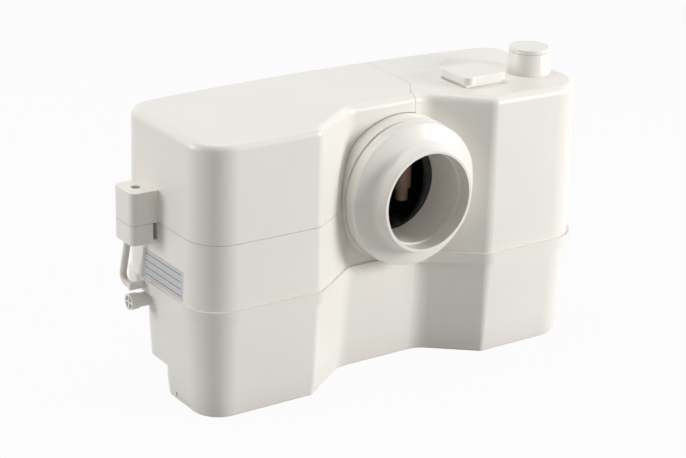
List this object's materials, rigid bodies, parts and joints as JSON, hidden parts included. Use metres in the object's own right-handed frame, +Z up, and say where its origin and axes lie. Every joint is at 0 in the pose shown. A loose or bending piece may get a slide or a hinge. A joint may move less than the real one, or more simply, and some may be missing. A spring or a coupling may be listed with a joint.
{
  "type": "macerator toilet pump",
  "caption": "Wall-side toilet pump box with tank, motor cover, front inlet collar, top hatch and capped discharge; shaft-driven macerator inside.",
  "frame": {"origin": "on the floor under the foot of the tank, at the middle of the box's width", "axes": "+Z up, -Y out of the toilet inlet, +Y to the wall, +X to the right seen from the front"},
  "size_m": [0.476, 0.1736, 0.297],
  "materials": {
    "white_plastic": "satin gloss moulded ABS",
    "grey_plastic": "matte moulded plastic",
    "black_rubber": "matte rubber",
    "black_plastic": "satin black plastic",
    "brown_plastic": "satin brown plastic",
    "hose_plastic": "satin flexible hose",
    "filter_foam": "carbon foam",
    "sticker": "pale grey film",
    "steel": "turned steel",
    "core_steel": "laminated steel",
    "copper": "enamelled copper wire",
    "aluminium": "die cast",
    "board_green": "circuit board"
  },
  "bodies": {
    "box": {"tank": "white_plastic", "casing": "white_plastic", "inlet_collar": "white_plastic", "discharge_socket": "white_plastic", "hose_nipple": "white_plastic", "drain_hose": "hose_plastic", "tank_gasket": "black_rubber", "cover_gasket": "black_rubber", "inlet_gasket": "black_rubber", "pipe_sleeves": "black_rubber", "shaft_seal": "black_rubber", "splash_hood": "black_plastic", "level_tube": "brown_plastic", "pressure_switch": "grey_plastic", "rating_plate": "sticker", "discharge_pipe": "grey_plastic", "discharge_riser": "grey_plastic", "valve_body": "grey_plastic", "flap_pin": "steel", "valve_screws": "steel", "tank_screws": "steel", "hose_clips": "steel", "pump_housing": "grey_plastic", "pump_column": "grey_plastic", "cutter_ring": "steel", "stator_core": "core_steel", "windings": "copper", "motor_housing": "aluminium", "lower_shield": "aluminium", "upper_shield": "aluminium", "lower_bearing": "steel", "upper_bearing": "steel", "column_bolts": "steel", "capacitor": "grey_plastic", "capacitor_clip": "steel", "board_holder": "black_plastic", "control_board": "board_green", "cable_gland": "black_plastic"},
    "rotor": {"shaft": "steel", "rotor_core": "core_steel", "impeller": "brown_plastic", "cutter_knife": "steel", "knife_nut": "steel"},
    "cover": {"motor_cover": "white_plastic", "cover_screw": "steel"},
    "hatch": {"hatch_cover": "white_plastic", "filter_cartridge": "filter_foam"},
    "cap": {"discharge_cap": "white_plastic"},
    "flap": {"valve_flap": "black_rubber"},
    "plug": {"drain_plug": "white_plastic"}
  },
  "joints": [
    {"name": "rotor_spin", "type": "hinge", "parent": "box", "child": "rotor", "pos_m": [-0.148, -0.012, 0.1], "axis": [0, 0, 1], "continuous": true},
    {"name": "cover_lift", "type": "slide", "parent": "box", "child": "cover", "axis": [0, 0, 1], "range_m": [0, 0.12]},
    {"name": "hatch_lift", "type": "slide", "parent": "box", "child": "hatch", "axis": [0, 0, 1], "range_m": [0, 0.06]},
    {"name": "cap_pull", "type": "slide", "parent": "box", "child": "cap", "axis": [0, 0, 1], "range_m": [0, 0.04]},
    {"name": "flap_swing", "type": "hinge", "parent": "box", "child": "flap", "pos_m": [0.1694, -0.008, 0.1722], "axis": [0, -1, 0], "range_deg": [0, 60]},
    {"name": "plug_pull", "type": "slide", "parent": "box", "child": "plug", "axis": [-1, 0, 0], "range_m": [0, 0.025]}
  ]
}
